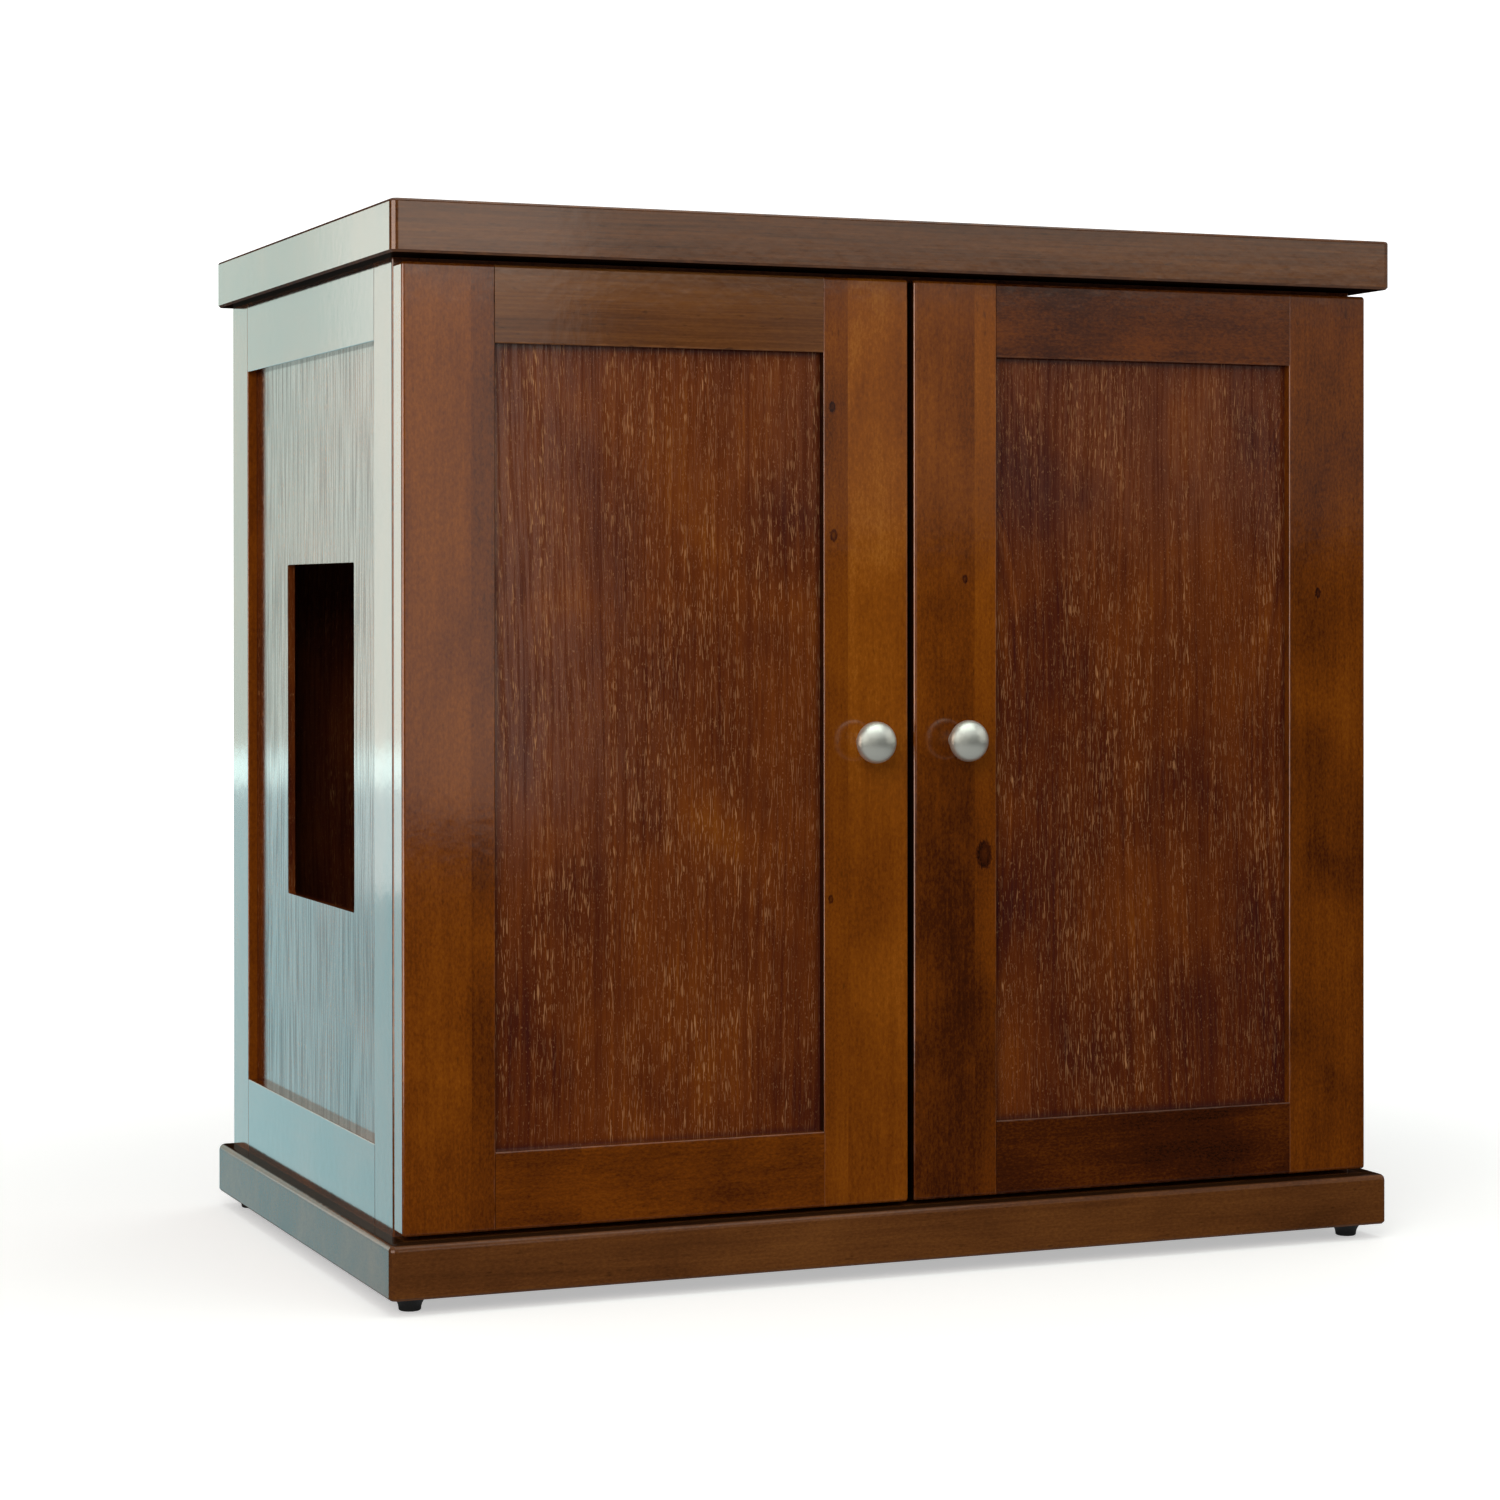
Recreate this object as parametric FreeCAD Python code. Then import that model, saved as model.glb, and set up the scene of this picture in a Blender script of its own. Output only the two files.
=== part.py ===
import FreeCAD, Part
import math
import os

V = FreeCAD.Vector

# All sizes are in millimetres. X runs across the front, Y from the doors to the back, Z up from
# the floor. The left half is modelled, and the right half is its mirror image but for the entry.

# Boards
cabinet_width = 711.0          # top and base boards, side to side
cabinet_height = 685.0         # floor to the top surface
top_depth = 448.0              # top board, front to back
top_thickness = 33.0
base_thickness = 34.0
board_corner = 5.0             # upright corners of both boards
top_arris = 2.0                # upper edge of the top board, rounded over
base_arris = 4.0               # upper edge of the base board, rounded over
lower_bevel = 1.5              # lower edges of both boards

# Overhangs and the gaps round the doors
side_overhang = 11.0           # both boards beyond the sides
top_front_overhang = 15.0      # top board beyond the door faces
base_front_overhang = 11.0     # base board beyond the door faces
side_set_in = 3.0              # sides short of the boards' rear edges
door_gap_top = 4.0
door_gap_bottom = 3.0
door_gap_middle = 4.0          # between the meeting edges
door_gap_rear = 3.0            # door backs to the sides' front edges

# Frame and panel joinery
side_thickness = 18.0
side_front_stile = 41.0
side_rear_stile = 44.0
side_bottom_rail = 52.0
side_top_rail = 49.0
door_thickness = 18.0
door_stile = 60.0
door_rail = 49.0
panel_thickness = 5.0
panel_set_back = 6.5           # show face of a frame to the face of its panel
groove_depth = 10.0            # panel grooves in stiles and rails
groove_room = 1.0              # left at a groove's bottom for the wood to move
inner_arris = 0.8              # frame edges next to the panels
side_arris = 1.5               # upright edges of the sides
door_arris = 2.0               # outer front edges of the doors

# Entry opening in the left side's panel
entry_width = 168.0
entry_height = 228.0
entry_sill = 192.0             # base board's top to the lower edge of the opening
entry_setback = 110.0          # front edge of the side to the opening
entry_corner = 2.0

# Back panel and top rails
back_thickness = 5.0
back_set_in = 8.0              # rear edge of the sides to the back panel
back_groove = 6.0              # groove in the rear stiles
back_groove_room = 0.5
top_rail_thickness = 18.0
top_rail_depth = 70.0
tenon_length = 6.0             # stub tenons of the top rails, let into the sides
tenon_shoulder = 4.0           # above and below a tenon
tenon_set_in = 10.0            # rail's long edges to its tenons
mortise_room = 0.3             # left at a mortise's bottom for glue

# Feet
foot_height = 10.0
foot_inset_x = 19.0            # foot centre from the base board's side edge
foot_inset_y = 23.0
foot_top_radius = 11.5
foot_waist_radius = 8.3
foot_waist_height = 6.0        # floor to where the foot starts to flare
foot_bottom_radius = 7.0
foot_lip = 0.8                 # straight edge under the base board
foot_recess_radius = 4.2
foot_recess_depth = 4.5

# Knobs, turned in metal
knob_radius = 13.5
knob_dome = 9.5                # widest point to the tip
knob_rim = 7.0                 # radius at the widest point, in front
knob_underside = 5.0           # and behind, down to the neck
knob_undercut = 162.0          # degrees from the tip round to where the underside meets the neck
knob_neck = 11.0               # length between rosette and head
knob_neck_radius = 4.5
knob_neck_top_radius = 5.6
knob_rosette = 2.0
knob_rosette_radius = 6.8
knob_from_meeting_edge = 31.0
knob_screw_radius = 2.0
knob_screw_length = 27.0       # from the door's back into the knob
knob_screw_head_radius = 4.2
knob_screw_head = 2.6

# Concealed hinges. Each door turns about two pins in line, inside the hinge cups
hinge_from_end = 95.0          # door's end to the middle of a hinge
pivot_inset = 7.0              # door's hinge edge to the pin
pivot_depth = 9.5              # door's back to the pin
pin_radius = 1.25
pin_clearance = 0.05           # radial running clearance of the arm's eye
pin_length = 17.0
cup_radius = 17.5
cup_depth = 13.0
cup_edge_distance = 3.0        # door's hinge edge to the cup
cup_wall = 0.8
cup_flange = 1.0
cup_flange_radius = 19.0
ear_offset = 9.5               # cup centre to the middle of its two ears
ear_half_width = 6.0
ear_reach = 27.5
ear_corner = 4.8
lug_gap = 0.5                  # arm's eye to the lugs that hold the pin
lug_half_width = 3.0
lug_length = 4.0
lug_round = 2.7                # upper corners of the lugs
eye_radius = 2.4
arm_sheet = 1.5
arm_width = 9.0
arm_bend = 3.0
channel_width = 15.0
channel_start = 4.0            # side's front edge to the wide part of the arm
flange_gap = 0.5               # arm's flanges to the plate
plate_thickness = 2.5
plate_front = 4.0              # side's front edge to the plate
plate_length = 36.0
plate_spine = 16.0
plate_wing = 14.0
plate_wing_reach = 24.0
plate_wing_setback = 24.0      # side's front edge to the middle of the wings
plate_corner = 2.5
block_height = 5.5
block_side_gap = 0.5
block_front_gap = 3.0
block_rear_gap = 1.0

# Magnetic catch under the front top rail
catch_length = 46.0
catch_height = 14.0
catch_depth = 14.0
catch_corner = 2.0
catch_ear = 11.0
catch_ear_height = 4.0
magnet_spacing = 26.0
magnet_width = 14.0
magnet_height = 8.0
magnet_depth = 9.0
magnet_proud = 0.7
strike_width = 18.0
strike_height = 11.0
strike_thickness = 1.2
strike_corner = 2.0
strike_air = 0.3               # strike plate to magnet with the door shut

# Places worked out from the sizes above
knob_length = knob_rosette + knob_neck + knob_underside + knob_dome
front_reach = max(knob_length, top_front_overhang, base_front_overhang)
overall_depth = top_depth - top_front_overhang + front_reach
rear_y = overall_depth / 2
door_face_y = front_reach - overall_depth / 2
door_back_y = door_face_y + door_thickness
side_front_y = door_back_y + door_gap_rear
side_rear_y = rear_y - side_set_in
side_depth = side_rear_y - side_front_y
side_out = cabinet_width / 2 - side_overhang
side_in = side_out - side_thickness
base_top = foot_height + base_thickness
case_top = cabinet_height - top_thickness
case_height = case_top - base_top
door_low = base_top + door_gap_bottom
door_height = case_top - door_gap_top - door_low
door_width = side_out - door_gap_middle / 2
back_face_y = side_rear_y - back_set_in - back_thickness
rail_low = case_top - top_rail_thickness
rear_rail_front_y = back_face_y - top_rail_depth

pivot_x = pivot_inset - side_out
pivot_y = door_back_y - pivot_depth
cup_centre = cup_edge_distance + cup_radius - pivot_inset
side_face = side_thickness - pivot_inset
side_edge = pivot_depth + door_gap_rear
plate_face = side_face + plate_thickness
web_low = plate_face + block_height
web_high = web_low + arm_sheet
arm_end = side_edge + plate_front + plate_length
hinge_heights = (door_low + hinge_from_end, door_low + door_height - hinge_from_end)


def flat(a, b, c):
    """Outline in the XY plane, extruded along Z."""
    return V(a, b, c)


def rounded_outline(corners, place, level):
    """Face inside straight edges joined by tangent arcs; a corner is (a, b) or (a, b, radius)."""
    stops = []
    count = len(corners)
    for i in range(count):
        here = V(corners[i][0], corners[i][1], 0)
        radius = corners[i][2] if len(corners[i]) == 3 else 0
        if radius == 0:
            stops.append((here, None, here))
            continue
        before = V(corners[i - 1][0], corners[i - 1][1], 0) - here
        after = V(corners[(i + 1) % count][0], corners[(i + 1) % count][1], 0) - here
        before.normalize()
        after.normalize()
        half_angle = before.getAngle(after) / 2
        inward = before + after
        inward.normalize()
        middle = here + inward * (radius / math.sin(half_angle) - radius)
        reach = radius / math.tan(half_angle)
        stops.append((here + before * reach, middle, here + after * reach))

    def put(point):
        return place(point.x, point.y, level)

    edges = []
    for i in range(count):
        start, middle, end = stops[i]
        following = stops[(i + 1) % count][0]
        if middle is not None:
            edges.append(Part.Arc(put(start), put(middle), put(end)).toShape())
        if end.distanceToPoint(following) > 1e-6:
            edges.append(Part.LineSegment(put(end), put(following)).toShape())
    return Part.Face(Part.Wire(edges))


def prism(corners, low, high, place=flat):
    """Outline extruded from one level to another along the third axis of place."""
    face = rounded_outline(corners, place, low)
    return face.extrude(place(0, 0, high) - place(0, 0, low))


def rectangle(a0, a1, b0, b1, radius=0):
    return [(a0, b0, radius), (a1, b0, radius), (a1, b1, radius), (a0, b1, radius)]


def slab(x0, x1, y0, y1, z0, z1):
    return Part.makeBox(x1 - x0, y1 - y0, z1 - z0, V(x0, y0, z0))


def aimed(shape, point, direction):
    """Shape made along +Z from the origin, moved to a point and turned to a direction."""
    shape.Placement = FreeCAD.Placement(point, FreeCAD.Rotation(V(0, 0, 1), direction))
    return shape


def turned(profile_face, point, direction):
    """Solid turned from a face of (radius, height) in the XZ plane."""
    solid = profile_face.revolve(V(0, 0, 0), V(0, 0, 1), 360)
    return aimed(solid, point, direction)


def upright(a, b, c):
    """Outline of (radius, height) for turning."""
    return V(a, c, b)


def rod(radius, length, point, direction):
    return aimed(Part.makeCylinder(radius, length), point, direction)


def mirrored(shape):
    return shape.mirror(V(0, 0, 0), V(1, 0, 0))


def board(front_y, low, high, upper_arris):
    """Top or base board: rounded upright corners, upper edge rounded over, lower edge bevelled."""
    half = cabinet_width / 2
    blank = prism(rectangle(-half, half, front_y, rear_y, board_corner), low, high)
    upper_rim = [edge for edge in blank.Edges if edge.BoundBox.ZMin > high - board_corner]
    blank = blank.makeFillet(upper_arris, upper_rim)
    lower_rim = [edge for edge in blank.Edges if edge.BoundBox.ZMax < low + board_corner]
    return blank.makeChamfer(lower_bevel, lower_rim)


def grooved_bar(width, thickness, length, place, outer_arris=0):
    """Stile or rail. place(s, t, run): s from the outer edge to the panel, t from the show face back."""
    groove_far = panel_set_back + panel_thickness
    corners = [
        (0, 0, outer_arris),
        (width, 0, inner_arris),
        (width, panel_set_back),
        (width - groove_depth, panel_set_back),
        (width - groove_depth, groove_far),
        (width, groove_far),
        (width, thickness),
        (0, thickness, outer_arris),
    ]
    return prism(corners, 0, length, place)


def frame_and_panel(width, height, thickness, stiles, rails, stile_arris=0):
    """Two stiles, two rails and a panel. X across, Y from the show face back, Z up."""
    first_stile, last_stile = stiles
    bottom_rail, top_rail = rails
    rail_length = width - first_stile - last_stile
    tongue = groove_depth - groove_room
    groove_far = panel_set_back + panel_thickness

    def first(s, t, run):
        return V(s, t, run)

    def last(s, t, run):
        return V(width - s, t, run)

    def bottom(s, t, run):
        return V(first_stile + run, t, s)

    def top(s, t, run):
        return V(first_stile + run, t, height - s)

    bars = {
        "first_stile": grooved_bar(first_stile, thickness, height, first, stile_arris),
        "last_stile": grooved_bar(last_stile, thickness, height, last, stile_arris),
    }
    for name, size, place in (("bottom_rail", bottom_rail, bottom), ("top_rail", top_rail, top)):
        rail = grooved_bar(size, thickness, rail_length, place)
        for start, end in ((-tongue, 0), (rail_length, rail_length + tongue)):
            tenon = rectangle(0, size - groove_depth, panel_set_back, groove_far)
            rail = rail.fuse(prism(tenon, start, end, place))
        bars[name] = rail.removeSplitter()
    bars["panel"] = slab(
        first_stile - tongue, width - last_stile + tongue,
        panel_set_back, groove_far,
        bottom_rail - tongue, height - top_rail + tongue,
    )
    return bars


def placed(pieces, placement):
    moved = {}
    for name, shape in pieces.items():
        moved[name] = shape.transformed(placement.toMatrix(), True)
    return moved


def door_blank():
    """Outer shape of the left door, with its front edges and corners rounded."""
    blank = Part.makeBox(door_width, door_thickness, door_height)
    outer = [e for e in blank.Edges if e.BoundBox.YMin < 1e-3]
    return blank.makeFillet(door_arris, outer)


def hinge_place(height):
    """Hinge axes: a inward from the pin, b backward, c up from the hinge's middle."""
    def place(a, b, c):
        return V(pivot_x + a, pivot_y + b, height + c)
    return place


def hinge_cup(height):
    """Pressed cup with a rim, two ears and the two lugs that hold the pin."""
    place = hinge_place(height)
    floor = pivot_depth - cup_depth
    inner = cup_radius - cup_wall
    profile = [
        (0, 0),
        (cup_radius, 0),
        (cup_radius, cup_depth),
        (cup_flange_radius, cup_depth),
        (cup_flange_radius, cup_depth + cup_flange),
        (inner, cup_depth + cup_flange),
        (inner, cup_wall),
        (0, cup_wall),
    ]
    cup = turned(rounded_outline(profile, upright, 0), place(cup_centre, floor, 0), V(0, 1, 0))

    def facing(a, c, b):
        return place(a, b, c)

    ear_line = cup_centre + ear_offset
    ear_outline = rectangle(
        ear_line - ear_half_width, ear_line + ear_half_width, -ear_reach, ear_reach, ear_corner,
    )
    ears = prism(ear_outline, pivot_depth, pivot_depth + cup_flange, facing)
    mouth = rod(inner, cup_flange, place(cup_centre, pivot_depth, 0), V(0, 1, 0))
    cup = cup.fuse(ears.cut(mouth))
    bore = rod(cup_radius, cup_depth, place(cup_centre, floor, 0), V(0, 1, 0))
    lug_base = arm_width / 2 + lug_gap
    for low, high in ((-lug_base - lug_length, -lug_base), (lug_base, lug_base + lug_length)):
        lug = rectangle(-lug_half_width, lug_half_width, floor + cup_wall / 2, lug_half_width)
        lug[2] = (lug_half_width, lug_half_width, lug_round)
        lug[3] = (-lug_half_width, lug_half_width, lug_round)
        cup = cup.fuse(prism(lug, low, high, place).common(bore))
    return cup.cut(hinge_pin(height)).removeSplitter()


def hinge_pin(height):
    start = hinge_place(height)(0, 0, -pin_length / 2)
    return rod(pin_radius, pin_length, start, V(0, 0, 1))


def cup_bore(height):
    """Round recess in the door's back for one cup."""
    start = hinge_place(height)(cup_centre, pivot_depth - cup_depth, 0)
    return rod(cup_radius, cup_depth, start, V(0, 1, 0))


def hinge_arm(height):
    """Bent strip from the pin out of the cup, widening to a channel over the mounting plate."""
    place = hinge_place(height)
    low = -eye_radius
    strip = [
        (0, low),
        (web_high, low, arm_bend),
        (web_high, arm_end),
        (web_low, arm_end),
        (web_low, low + arm_sheet, arm_bend - arm_sheet),
        (0, low + arm_sheet),
    ]
    arm = prism(strip, -arm_width / 2, arm_width / 2, place)
    arm = arm.fuse(rod(eye_radius, arm_width, place(0, 0, -arm_width / 2), V(0, 0, 1)))
    half = channel_width / 2
    flange_low = plate_face + flange_gap
    channel = [
        (flange_low, -half),
        (web_high, -half, arm_sheet),
        (web_high, half, arm_sheet),
        (flange_low, half),
        (flange_low, half - arm_sheet),
        (web_low, half - arm_sheet),
        (web_low, arm_sheet - half),
        (flange_low, arm_sheet - half),
    ]

    def along(a, c, b):
        return place(a, b, c)

    arm = arm.fuse(prism(channel, side_edge + channel_start, arm_end, along))
    eye_hole = rod(pin_radius + pin_clearance, arm_width, place(0, 0, -arm_width / 2), V(0, 0, 1))
    return arm.cut(eye_hole).removeSplitter()


def hinge_plate(height):
    """Cross-shaped plate on the side's inner face, with the block that the arm sits over."""
    place = hinge_place(height)

    def facing(b, c, a):
        return place(a, b, c)

    front = side_edge + plate_front
    line = side_edge + plate_wing_setback
    spine = plate_spine / 2
    wing = plate_wing / 2
    cross = [
        (front, -spine, plate_corner),
        (line - wing, -spine),
        (line - wing, -plate_wing_reach, plate_corner),
        (line + wing, -plate_wing_reach, plate_corner),
        (line + wing, -spine),
        (arm_end, -spine, plate_corner),
        (arm_end, spine, plate_corner),
        (line + wing, spine),
        (line + wing, plate_wing_reach, plate_corner),
        (line - wing, plate_wing_reach, plate_corner),
        (line - wing, spine),
        (front, spine, plate_corner),
    ]
    plate = prism(cross, side_face, plate_face, facing)
    block_half = channel_width / 2 - arm_sheet - block_side_gap
    block = rectangle(front + block_front_gap, arm_end - block_rear_gap, -block_half, block_half)
    return plate.fuse(prism(block, plate_face, web_low, facing)).removeSplitter()


def knob():
    """Mushroom knob: rosette, waisted neck and oval head, turned about the screw's axis."""
    head = knob_rosette + knob_neck + knob_underside
    rim_centre = knob_radius - knob_rim
    crown = (rim_centre ** 2 + knob_dome ** 2 - knob_rim ** 2) / (2 * (knob_dome - knob_rim))
    crown_centre = head + knob_dome - crown
    lean = math.atan2(rim_centre, head - crown_centre)
    under_centre = knob_radius - knob_underside
    neck_top = knob_rosette + knob_neck
    rosette_rim = knob_rosette_radius - knob_rosette / 2

    def on_crown(angle):
        return V(crown * math.sin(angle), crown_centre + crown * math.cos(angle), 0)

    def on_rim(angle):
        return V(rim_centre + knob_rim * math.sin(angle), head + knob_rim * math.cos(angle), 0)

    def on_underside(angle):
        level = head + knob_underside * math.cos(angle)
        return V(under_centre + knob_underside * math.sin(angle), level, 0)

    right = math.pi / 2
    lower = math.radians(knob_undercut)
    foot_of_neck = V(rosette_rim, knob_rosette, 0)
    waist = V(knob_neck_radius, knob_rosette + knob_neck / 2, 0)
    top_of_neck = V(knob_neck_top_radius, neck_top, 0)
    edges = [
        Part.LineSegment(V(0, 0, 0), V(knob_rosette_radius, 0, 0)),
        Part.LineSegment(V(knob_rosette_radius, 0, 0), V(knob_rosette_radius, knob_rosette / 2, 0)),
        Part.LineSegment(V(knob_rosette_radius, knob_rosette / 2, 0), foot_of_neck),
        Part.Arc(foot_of_neck, waist, top_of_neck),
        Part.LineSegment(top_of_neck, on_underside(lower)),
        Part.Arc(on_underside(lower), on_underside((lower + right) / 2), on_underside(right)),
        Part.Arc(on_rim(right), on_rim((right + lean) / 2), on_rim(lean)),
        Part.Arc(on_crown(lean), on_crown(lean / 2), on_crown(0)),
        Part.LineSegment(on_crown(0), V(0, 0, 0)),
    ]
    outline = Part.Wire([edge.toShape() for edge in edges])
    solid = Part.Face(outline).revolve(V(0, 0, 0), V(0, 1, 0), 360)
    solid.Placement = FreeCAD.Placement(knob_seat(door_face_y), FreeCAD.Rotation(V(1, 0, 0), 180))
    return solid.cut(left_knob_screw())


def knob_seat(y):
    """Point on the knob's axis, half way up the left door's meeting stile."""
    x = -door_gap_middle / 2 - knob_from_meeting_edge
    return V(x, y, door_low + door_height / 2)


def left_knob_screw():
    """Screw through the door, with its flat head on the door's back."""
    head = rod(knob_screw_head_radius, knob_screw_head, knob_seat(door_back_y), V(0, 1, 0))
    return head.fuse(rod(knob_screw_radius, knob_screw_length, knob_seat(door_back_y), V(0, -1, 0)))


def strike_plate():
    """Steel plate on the door's back that meets the catch's magnet."""
    def facing(x, z, y):
        return V(x, y, z)

    x = -magnet_spacing / 2
    z = rail_low - catch_height / 2
    outline = rectangle(
        x - strike_width / 2, x + strike_width / 2,
        z - strike_height / 2, z + strike_height / 2, strike_corner,
    )
    return prism(outline, door_back_y, door_back_y + strike_thickness, facing)


def left_door():
    """Frame-and-panel door with cup bores, hinge cups, knob and strike plate."""
    bars = frame_and_panel(
        door_width, door_height, door_thickness, (door_stile, door_stile), (door_rail, door_rail),
    )
    blank = door_blank()
    for name in ("first_stile", "last_stile", "bottom_rail", "top_rail"):
        bars[name] = bars[name].common(blank)
    bars = placed(bars, FreeCAD.Placement(V(-side_out, door_face_y, door_low), FreeCAD.Rotation()))
    hinge_stile = bars.pop("first_stile")
    for height in hinge_heights:
        hinge_stile = hinge_stile.cut(cup_bore(height))
    door = {"door_meeting_stile": bars.pop("last_stile").cut(left_knob_screw())}
    door["door_hinge_stile"] = hinge_stile
    for name, shape in bars.items():
        door["door_" + name] = shape
    door["knob"] = knob()
    door["knob_screw"] = left_knob_screw()
    door["strike_plate"] = strike_plate()
    door["lower_hinge_cup"] = hinge_cup(hinge_heights[0])
    door["upper_hinge_cup"] = hinge_cup(hinge_heights[1])
    door["hinge_pins"] = Part.makeCompound([hinge_pin(height) for height in hinge_heights])
    return door


def left_side(with_entry):
    """Frame-and-panel side, show face outward, with the rear stile's groove for the back panel."""
    bars = frame_and_panel(
        side_depth, case_height, side_thickness,
        (side_rear_stile, side_front_stile), (side_bottom_rail, side_top_rail), side_arris,
    )
    turn = FreeCAD.Placement(V(-side_out, side_rear_y, base_top), FreeCAD.Rotation(V(0, 0, 1), -90))
    bars = placed(bars, turn)
    side = {
        "side_front_stile": bars["last_stile"],
        "side_rear_stile": bars["first_stile"],
        "side_top_rail": bars["top_rail"],
        "side_bottom_rail": bars["bottom_rail"],
    }
    for front_y in (side_front_y, rear_rail_front_y):
        mortise = top_rail_tenons(front_y, tenon_length + mortise_room)
        for name in side:
            if side[name].BoundBox.intersect(mortise.BoundBox):
                side[name] = side[name].cut(mortise)
    groove = slab(
        -side_in - back_groove, -side_in,
        back_face_y, back_face_y + back_thickness, base_top, case_top,
    )
    side["side_rear_stile"] = side["side_rear_stile"].cut(groove)
    panel = bars["panel"]
    if with_entry:
        panel = panel.cut(entry_cutter())
    side["side_panel"] = panel
    return side


def entry_cutter():
    """Prism through the left panel where the entry opening is."""
    def outward(y, z, x):
        return V(x, y, z)

    front = side_front_y + entry_setback
    low = base_top + entry_sill
    outline = rectangle(front, front + entry_width, low, low + entry_height, entry_corner)
    return prism(outline, -side_out, -side_in, outward)


def back_panel():
    reach = side_in + back_groove - back_groove_room
    return slab(-reach, reach, back_face_y, back_face_y + back_thickness, base_top, case_top)


def top_rail_tenons(front_y, length):
    """Bar that reaches into both sides: the stub tenons of a top rail, or their mortises."""
    reach = side_in + length
    return slab(
        -reach, reach,
        front_y + tenon_set_in, front_y + top_rail_depth - tenon_set_in,
        rail_low + tenon_shoulder, case_top - tenon_shoulder,
    )


def carcass_top_rail(front_y):
    """Flat rail between the sides that carries the top board."""
    rail = slab(-side_in, side_in, front_y, front_y + top_rail_depth, rail_low, case_top)
    return rail.fuse(top_rail_tenons(front_y, tenon_length)).removeSplitter()


def catch_front_y():
    return door_back_y + strike_thickness + strike_air + magnet_proud


def catch_magnets():
    """Two magnets, each behind the strike plate of its door."""
    z = rail_low - catch_height / 2
    y = catch_front_y() - magnet_proud
    magnets = []
    for side in (-1, 1):
        x = side * magnet_spacing / 2
        magnets.append(slab(
            x - magnet_width / 2, x + magnet_width / 2,
            y, y + magnet_depth,
            z - magnet_height / 2, z + magnet_height / 2,
        ))
    return magnets


def catch_body():
    """Moulded body with a fixing ear at each end."""
    def forward(x, z, y):
        return V(x, y, z)

    half = catch_length / 2
    tip = half + catch_ear
    low = rail_low - catch_height
    ear_low = rail_low - catch_ear_height
    outline = [
        (-half, low, catch_corner),
        (half, low, catch_corner),
        (half, ear_low, catch_corner / 2),
        (tip, ear_low, catch_corner / 2),
        (tip, rail_low),
        (-tip, rail_low),
        (-tip, ear_low, catch_corner / 2),
        (-half, ear_low, catch_corner / 2),
    ]
    body = prism(outline, catch_front_y(), catch_front_y() + catch_depth, forward)
    for magnet in catch_magnets():
        body = body.cut(magnet)
    return body


def foot_centres():
    front = door_face_y - base_front_overhang + foot_inset_y
    rear = rear_y - foot_inset_y
    x = cabinet_width / 2 - foot_inset_x
    return {
        "front_left_foot": V(-x, front, 0),
        "front_right_foot": V(x, front, 0),
        "rear_left_foot": V(-x, rear, 0),
        "rear_right_foot": V(x, rear, 0),
    }


def foot(centre):
    """Flared rubber foot with a recess for its fixing underneath."""
    profile = [
        (foot_recess_radius, 0),
        (foot_bottom_radius, 0),
        (foot_waist_radius, foot_waist_height),
        (foot_top_radius, foot_height - foot_lip),
        (foot_top_radius, foot_height),
        (0, foot_height),
        (0, foot_recess_depth),
        (foot_recess_radius, foot_recess_depth),
    ]
    return turned(rounded_outline(profile, upright, 0), centre, V(0, 0, 1))


def base_board():
    return board(door_face_y - base_front_overhang, foot_height, base_top, base_arris)


def top_board():
    return board(door_face_y - top_front_overhang, case_top, cabinet_height, top_arris)


def cabinet():
    """Every node of the part, by name."""
    nodes = {}
    nodes["top_board"] = top_board()
    nodes["base_board"] = base_board()
    nodes["back_panel"] = back_panel()
    nodes["front_top_rail"] = carcass_top_rail(side_front_y)
    nodes["rear_top_rail"] = carcass_top_rail(rear_rail_front_y)
    nodes["catch_body"] = catch_body()
    nodes["catch_magnets"] = Part.makeCompound(catch_magnets())
    for name, centre in foot_centres().items():
        nodes[name] = foot(centre)
    for name, shape in left_side(True).items():
        nodes["left_" + name] = shape
    for name, shape in left_side(False).items():
        nodes["right_" + name] = mirrored(shape)
    for name, shape in left_door().items():
        nodes["left_" + name] = shape
        nodes["right_" + name] = mirrored(shape)
    for level, height in zip(("lower", "upper"), hinge_heights):
        arm = hinge_arm(height)
        plate = hinge_plate(height)
        nodes["left_" + level + "_hinge_arm"] = arm
        nodes["right_" + level + "_hinge_arm"] = mirrored(arm)
        nodes["left_" + level + "_hinge_plate"] = plate
        nodes["right_" + level + "_hinge_plate"] = mirrored(plate)
    return nodes


os.makedirs("parts", exist_ok=True)
for node, solid in cabinet().items():
    solid.exportStep("parts/" + node + ".step")
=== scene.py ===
import bpy
import math
from mathutils import Matrix, Vector


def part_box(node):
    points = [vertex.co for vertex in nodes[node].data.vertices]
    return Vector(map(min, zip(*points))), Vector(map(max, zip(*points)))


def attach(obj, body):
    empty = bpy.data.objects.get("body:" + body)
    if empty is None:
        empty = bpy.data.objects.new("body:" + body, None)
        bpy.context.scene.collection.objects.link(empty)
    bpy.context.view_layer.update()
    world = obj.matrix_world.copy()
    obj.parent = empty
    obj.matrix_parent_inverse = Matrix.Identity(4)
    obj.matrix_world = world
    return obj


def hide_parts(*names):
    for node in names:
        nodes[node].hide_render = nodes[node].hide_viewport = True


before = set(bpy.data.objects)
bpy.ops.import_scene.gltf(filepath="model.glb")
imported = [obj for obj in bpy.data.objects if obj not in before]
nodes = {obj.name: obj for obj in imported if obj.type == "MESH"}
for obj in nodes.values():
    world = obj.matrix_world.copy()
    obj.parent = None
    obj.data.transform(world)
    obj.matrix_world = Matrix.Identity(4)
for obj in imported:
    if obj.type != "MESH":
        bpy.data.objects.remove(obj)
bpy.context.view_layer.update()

mm = 0.001
scene = bpy.context.scene
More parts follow.
